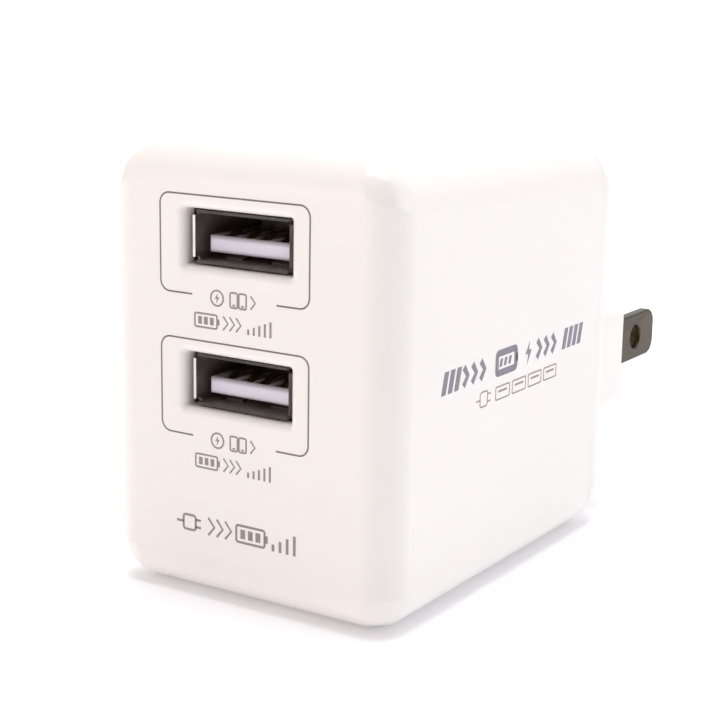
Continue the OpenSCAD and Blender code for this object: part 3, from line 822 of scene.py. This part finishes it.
def make_contacts(port, place):
    """Four plated contacts with rolled-down front ends, lying in the tongue's channels."""
    top = tongue_levels()[1]
    bm = bmesh.new()
    start = TONGUE_BACK + STRIP_START
    profile = [(start + y * MM, top + z * MM) for y, z in CONTACT_WAVE]
    profile += [(SHELL_L - 2.3 * MM, top - 0.12 * MM), (SHELL_L + 1.6 * MM, top - 0.12 * MM)]
    for x in STRIPS:
        sections = []
        for i, (y, z) in enumerate(profile):
            half = STRIP_W / 2 * (0.6 if i == 0 or i > 8 else 0.85 if i == 1 else 0.92)
            under = z - CONTACT_T
            sections.append([bm.verts.new(place @ Vector(p)) for p in (
                (x - half, y, under), (x + half, y, under), (x + half, y, z), (x - half, y, z))])
        for a, b in zip(sections, sections[1:]):
            for i in range(4):
                j = (i + 1) % 4
                bm.faces.new((a[i], a[j], b[j], b[i]))
        bm.faces.new(sections[0])
        bm.faces.new(list(reversed(sections[-1])))
    obj = from_bmesh(f"contacts_{port}", bm)
    finish_piece(obj, "charger", "contact_gold", MATERIALS["contact_gold"], f"usb_contacts_{port}")
    return shade(obj)


# ---------------------------------------------------------------- plug
TIP_R = 2.0 * MM
HOLE_R = 1.59 * MM
HOLE_TO_FACE = 11.7 * MM
TAIL_HALF = 1.4 * MM  # half height of the part inside the barrel
BLADE_ROUND = 0.28 * MM


def make_blade(node):
    """One blade: rounded tip, narrower tail, softened edges and a hole."""
    low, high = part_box(node)
    half = (high.z - low.z) / 2
    outline = [
        (PIVOT.y, PLUG_Z + half), (PIVOT.y, PLUG_Z + TAIL_HALF),
        (low.y, PLUG_Z + TAIL_HALF), (low.y, PLUG_Z - TAIL_HALF),
        (PIVOT.y, PLUG_Z - TAIL_HALF), (PIVOT.y, PLUG_Z - half)]
    for start, sz in ((-90, -1), (0, 1)):
        for i in range(13):
            a = math.radians(start + 90 * i / 12)
            y = high.y - TIP_R + TIP_R * math.cos(a)
            z = PLUG_Z + sz * (half - TIP_R) + TIP_R * math.sin(a)
            outline.append((y, z))
    bm = bmesh.new()
    add_prism(bm, [(low.x, y, z) for y, z in outline], [(high.x, y, z) for y, z in outline])
    obj = from_bmesh(node.replace("blade_", "blade_skin_"), bm)
    drill = cylinder_x(
        HOLE_R, low.x - 1.5 * MM, high.x + 1.5 * MM, FACE_Y + HOLE_TO_FACE, PLUG_Z, 64)
    boolean(obj, drill, "DIFFERENCE")
    soften(obj, BLADE_ROUND, 4, 50)
    finish_piece(obj, "plug", "blade_nickel", MATERIALS["blade_nickel"], node)
    return shade(obj)


# ---------------------------------------------------------------- print on the housing
FRAME_W = 19.44 * MM
FRAME_H = 10.64 * MM
FRAME_R = 1.2 * MM
FRAME_LINE = 0.18 * MM
FRAME_SHIFT_X = -0.3 * MM
FRAME_SHIFT_Z = -0.75 * MM
FRAME_GAP_LEFT = 4.3 * MM
FRAME_GAP_RIGHT = 4.1 * MM
INK_T = 0.012 * MM


def stroke(bm, points, width, place, closed=False):
    """A flat ink line of the given width through points in the x, z plane."""
    def side(i):
        before = points[i - 1] if i > 0 or closed else points[i]
        after = points[(i + 1) % len(points)] if i < len(points) - 1 or closed else points[i]
        d = Vector((after[0] - before[0], after[1] - before[1]))
        d.normalize()
        return Vector((-d.y, d.x)) * width / 2

    rings = []
    for i, (x, z) in enumerate(points):
        n = side(i)
        left, right = Vector((x, z)) + n, Vector((x, z)) - n
        rings.append([bm.verts.new(place @ Vector(p)) for p in (
            (left.x, -INK_T, left.y), (right.x, -INK_T, right.y),
            (right.x, 0, right.y), (left.x, 0, left.y))])
    pairs = list(zip(rings, rings[1:]))
    if closed:
        pairs.append((rings[-1], rings[0]))
    for a, b in pairs:
        for i in range(4):
            j = (i + 1) % 4
            bm.faces.new((a[i], b[i], b[j], a[j]))
    if not closed:
        bm.faces.new(rings[0])
        bm.faces.new(list(reversed(rings[-1])))


def frame_path():
    """The printed frame round a socket, open in the middle of its bottom line."""
    w, h, r = FRAME_W / 2, FRAME_H / 2, FRAME_R
    points = [(-w + FRAME_GAP_LEFT, -h)]
    for sx, sz, start in ((-1, -1, 270), (-1, 1, 180), (1, 1, 90), (1, -1, 0)):
        for i in range(9):
            a = math.radians(start - 90 * i / 8)
            points.append((sx * (w - r) + r * math.cos(a), sz * (h - r) + r * math.sin(a)))
    points.append((w - FRAME_GAP_RIGHT, -h))
    return points


def shifted(points, dx, dz, scale=1.0):
    return [(x * scale + dx, z * scale + dz) for x, z in points]


def circle_points(radius, steps=24):
    angles = [math.tau * i / steps for i in range(steps)]
    return [(radius * math.cos(a), radius * math.sin(a)) for a in angles]


BOLT = [(0.15, 1.0), (-0.55, -0.12), (-0.08, -0.12), (-0.18, -1.0), (0.55, 0.2), (0.08, 0.2)]
FRONT_FACE = Matrix.Translation((0, FRONT_Y + SKIN, 0))
RIGHT_FACE = Matrix.Translation((HALF_W - SKIN, 0, 0)) @ Matrix.Rotation(math.pi / 2, 4, "Z")


class Pen:
    """One ink on one face: a mesh in the making, the face's place and the width of the line."""

    def __init__(self, face, line):
        self.bm = bmesh.new()
        self.face = face
        self.line = line

    def draw(self, path, closed=False, line=None):
        stroke(self.bm, path, line or self.line, self.face, closed)

    def fill(self, outline):
        slab(self.bm, outline, -INK_T, 0, self.face)

    def lift(self, name, material):
        obj = from_bmesh(name, self.bm)
        return finish_piece(obj, "charger", "housing_white", material)


def ring_mark(pen, x, z, size):
    """A bolt in a ring."""
    pen.draw(shifted(circle_points(size / 2), x, z), closed=True)
    pen.fill(shifted(BOLT, x, z, size * 0.33))


def phone_mark(pen, x, z, size):
    """An upright rounded outline with a short bar in it."""
    pen.draw(shifted(round_rect(size * 0.6, size, size * 0.12, 3), x, z), closed=True)
    bar_z = z - size * 0.34
    pen.draw([(x - size * 0.1, bar_z), (x + size * 0.1, bar_z)])


def battery_mark(pen, x, z, size, cells):
    """A lying battery outline with some full cells."""
    pen.draw(shifted(round_rect(size * 1.8, size * 0.9, size * 0.12, 3), x, z), closed=True)
    pen.fill(shifted(round_rect(size * 0.16, size * 0.4, size * 0.03, 2), x + size * 1.02, z))
    for i in range(cells):
        pen.fill(shifted(round_rect(size * 0.3, size * 0.5, 0, 1), x + size * (i - 1) * 0.48, z))


def chevrons(pen, x, z, size, count, gap):
    """Arrow heads in a row."""
    for i in range(count):
        left = x + i * gap
        pen.draw([(left, z + size / 2), (left + size * 0.42, z), (left, z - size / 2)])


def level_bars(pen, x, z, size, count):
    """Bars of rising height on a common foot."""
    step = size * 0.42
    for i in range(count):
        height = size * (0.35 + 0.65 * i / (count - 1))
        bar = round_rect(pen.line * 1.3, height, pen.line * 0.2, 2)
        pen.fill(shifted(bar, x + i * step, z - size / 2 + height / 2))


def plug_mark(pen, x, z, size):
    """A two-blade plug lying on its side."""
    pen.draw(shifted(round_rect(size * 0.8, size * 0.8, size * 0.15, 3), x, z), closed=True)
    pen.draw([(x - size * 0.4, z), (x - size * 0.85, z)])
    for side in (-1, 1):
        level = z + side * size * 0.2
        pen.draw([(x + size * 0.4, level), (x + size * 0.75, level)])


def socket_mark(pen, x, z, size):
    """The mouth of a flat socket with its tongue."""
    pen.draw(shifted(round_rect(size * 1.9, size * 0.85, size * 0.08, 2), x, z), closed=True)
    level = z + size * 0.1
    pen.draw([(x - size * 0.6, level), (x + size * 0.6, level)], line=pen.line * 1.4)


def slanted_bars(pen, x, z, size, widths, gap):
    """Leaning solid bars."""
    lean = size * 0.27
    for width in widths:
        low, high = z - size / 2, z + size / 2
        pen.fill([(x, low), (x + width, low), (x + width + lean, high), (x + lean, high)])
        x += width + gap


def make_front_print():
    """Frames and small signs at the front sockets, and a row of larger signs low down."""
    frames = Pen(FRONT_FACE, FRAME_LINE)
    marks = Pen(FRONT_FACE, 0.2 * MM)
    for level in ("upper", "lower"):
        low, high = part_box(f"usb_shell_front_{level}")
        centre = (low + high) / 2
        x, z = centre.x + FRAME_SHIFT_X, centre.z + FRAME_SHIFT_Z
        frames.draw(shifted(frame_path(), x, z))
        first_row = z - FRAME_H / 2 - 0.1 * MM
        ring_mark(marks, x - 2.1 * MM, first_row, 1.65 * MM)
        phone_mark(marks, x + 0.1 * MM, first_row, 1.6 * MM)
        phone_mark(marks, x + 1.25 * MM, first_row, 1.6 * MM)
        chevrons(marks, x + 2.3 * MM, first_row, 1.4 * MM, 1, 0)
        second_row = first_row - 2.6 * MM
        battery_mark(marks, x - 3.6 * MM, second_row, 1.65 * MM, 3)
        chevrons(marks, x - 1.3 * MM, second_row, 1.5 * MM, 3, 0.85 * MM)
        level_bars(marks, x + 2.0 * MM, second_row, 1.7 * MM, 5)
    foot_line = Pen(FRONT_FACE, 0.27 * MM)
    x, z = FRAME_SHIFT_X - 0.8 * MM, 8.6 * MM
    plug_mark(foot_line, x - 6.2 * MM, z, 2.1 * MM)
    chevrons(foot_line, x - 3.6 * MM, z, 2.0 * MM, 3, 1.15 * MM)
    battery_mark(foot_line, x + 2.1 * MM, z, 2.1 * MM, 3)
    level_bars(foot_line, x + 5.1 * MM, z, 2.2 * MM, 4)
    frames.lift("front_frames", PRINT_DARK)
    marks.lift("front_marks", PRINT_GREY)
    foot_line.lift("front_foot_marks", PRINT_GREY)


def make_side_print():
    """A heavy row of signs on the right side, with a fine row under it."""
    heavy = Pen(RIGHT_FACE, 0.78 * MM)
    z = 26.0 * MM
    slanted_bars(heavy, -17.0 * MM, z, 2.5 * MM, [0.95 * MM] * 3, 0.42 * MM)
    chevrons(heavy, -12.2 * MM, z, 2.1 * MM, 3, 1.9 * MM)
    battery_mark(heavy, -2.4 * MM, z, 2.5 * MM, 0)
    slanted_bars(heavy, -4.1 * MM, z, 0.9 * MM, [0.6 * MM] * 3, 0.45 * MM)
    heavy.fill(shifted(BOLT, 3.0 * MM, z, 1.35 * MM))
    chevrons(heavy, 5.2 * MM, z, 2.1 * MM, 3, 1.9 * MM)
    slanted_bars(heavy, 11.7 * MM, z, 2.5 * MM, [0.95 * MM] * 4, 0.42 * MM)
    fine = Pen(RIGHT_FACE, 0.17 * MM)
    z = 22.6 * MM
    plug_mark(fine, -7.5 * MM, z, 2.1 * MM)
    for i in range(4):
        socket_mark(fine, (-3.1 + 3.95 * i) * MM, z, 1.72 * MM)
    heavy.lift("side_marks_heavy", PRINT_BLUE)
    fine.lift("side_marks_fine", PRINT_GREY)


# ---------------------------------------------------------------- build the object
make_housing()
make_rear_cover()
for port, place in PORTS.items():
    make_shell(port, place)
    make_tongue(port, place)
    make_contacts(port, place)
for node in ("blade_left", "blade_right"):
    make_blade(node)
make_front_print()
make_side_print()


# ---------------------------------------------------------------- floor, light and camera
FLOOR_HALF = 20.0
FLOOR_TONES = ((0.955, 0.955, 0.985), (0.975, 0.975, 0.995))
GLOW_COLOUR = (0.93, 0.95, 1.0, 1.0)
GLOW_REACH = (0.06, 0.35)  # distances from the object between which the floor's glow rises
GLOW_STRENGTH = (0.14, 0.33)


def make_floor():
    """Pale paper with a painted glow that rises away from the object, so that it turns white there and stays
    darker near it.
    """
    bm = bmesh.new()
    bmesh.ops.create_grid(bm, x_segments=1, y_segments=1, size=FLOOR_HALF)
    obj = from_bmesh("floor", bm)
    material, tree, shader = node_set("floor_paper")
    tone = noise(tree, coordinates(tree), 30.0, 2.0)
    paint(tree, shader, tone, [(0.3, FLOOR_TONES[0]), (0.7, FLOOR_TONES[1])])
    shader.inputs["Roughness"].default_value = 0.9
    shader.inputs["Emission Color"].default_value = GLOW_COLOUR
    distance = tree.nodes.new("ShaderNodeVectorMath")
    distance.operation = "LENGTH"
    tree.links.new(coordinates(tree), distance.inputs[0])
    reach = tree.nodes.new("ShaderNodeMapRange")
    reach.inputs["From Min"].default_value, reach.inputs["From Max"].default_value = GLOW_REACH
    reach.inputs["To Min"].default_value, reach.inputs["To Max"].default_value = GLOW_STRENGTH
    tree.links.new(distance.outputs["Value"], reach.inputs["Value"])
    tree.links.new(reach.outputs["Result"], shader.inputs["Emission Strength"])
    obj.data.materials.append(material)


# parts of the white surroundings that are dimmed: direction, cosines at which the dimming
# starts and is complete, colour it reaches
DIM_ZONES = [
    ((0.7, -0.62, 0.36), 0.44, 0.92, (0.06, 0.02, 0.0)),
    ((-0.96, -0.12, 0.26), 0.5, 1.0, (0.5, 0.42, 0.36)),
]
WORLD_STRENGTH = 1.0
LIGHT_AIM = Vector((0, 0, 0.02))
# name, place, side of the square, power, colour
SOFT_BOXES = [
    ("top_box", (0.0, 0.0, 0.62), 0.3, 1.95, (0.95, 0.97, 1.0)),
    ("front_box", (-0.4, -0.9, 0.05), 0.5, 2.3, (1.0, 0.79, 0.66)),
    ("right_box", (0.88, 0.3, 0.2), 0.5, 1.45, (0.93, 0.95, 1.0)),
]


def area_light(name, place, size, power, colour):
    data = bpy.data.lights.new(name, "AREA")
    data.shape = "SQUARE"
    data.size = size
    data.energy = power
    data.color = colour
    obj = bpy.data.objects.new(name, data)
    bpy.context.scene.collection.objects.link(obj)
    obj.location = place
    obj.rotation_euler = (LIGHT_AIM - Vector(place)).to_track_quat("-Z", "Y").to_euler()


def make_lights():
    """A cool box above, a warm one in front, a cool one at the right, and white surroundings."""
    for name, place, size, power, colour in SOFT_BOXES:
        area_light(name, place, size, power, colour)
    world = bpy.data.worlds.new("studio")
    world.use_nodes = True
    tree = world.node_tree
    background = tree.nodes["Background"]
    place = tree.nodes.new("ShaderNodeTexCoord").outputs["Generated"]
    sky = None
    for direction, start, full, colour in DIM_ZONES:
        facing = tree.nodes.new("ShaderNodeVectorMath")
        facing.operation = "DOT_PRODUCT"
        facing.inputs[1].default_value = direction
        tree.links.new(place, facing.inputs[0])
        dim = tree.nodes.new("ShaderNodeMapRange")
        dim.interpolation_type = "SMOOTHSTEP"
        dim.inputs["From Min"].default_value = start
        dim.inputs["From Max"].default_value = full
        tree.links.new(facing.outputs["Value"], dim.inputs["Value"])
        tint = ramp(tree, dim.outputs["Result"], [(0.0, (1.0, 1.0, 1.0)), (1.0, colour)])
        sky = tint if sky is None else multiplied(tree, sky, tint)
    tree.links.new(sky, background.inputs["Color"])
    background.inputs["Strength"].default_value = WORLD_STRENGTH
    bpy.context.scene.world = world
    settings = bpy.context.scene.view_settings
    settings.view_transform = "Standard"
    settings.exposure = 0.0


CAMERA_PLACE = Vector((100.17, -134.13, 65.85)) * MM + Vector((0, FRONT_Y, 0))
CAMERA_YAW = math.radians(32.654)
CAMERA_PITCH = math.radians(12.614)
CAMERA_ROLL = math.radians(0.91)
CAMERA_LENS = 82.1


def make_camera():
    """Looks at the front and the right side, a little from above."""
    ahead = Vector((
        -math.sin(CAMERA_YAW) * math.cos(CAMERA_PITCH),
        math.cos(CAMERA_YAW) * math.cos(CAMERA_PITCH),
        -math.sin(CAMERA_PITCH)))
    level = Vector((math.cos(CAMERA_YAW), math.sin(CAMERA_YAW), 0))
    above = level.cross(ahead)
    right = level * math.cos(CAMERA_ROLL) + above * math.sin(CAMERA_ROLL)
    up = above * math.cos(CAMERA_ROLL) - level * math.sin(CAMERA_ROLL)
    data = bpy.data.cameras.new("camera")
    data.lens = CAMERA_LENS
    data.sensor_width = 36.0
    data.clip_start = 0.005
    obj = bpy.data.objects.new("camera", data)
    bpy.context.scene.collection.objects.link(obj)
    rotation = Matrix((right, up, -ahead)).transposed().to_4x4()
    obj.matrix_world = Matrix.Translation(CAMERA_PLACE) @ rotation
    bpy.context.scene.camera = obj


make_floor()
make_lights()
make_camera()
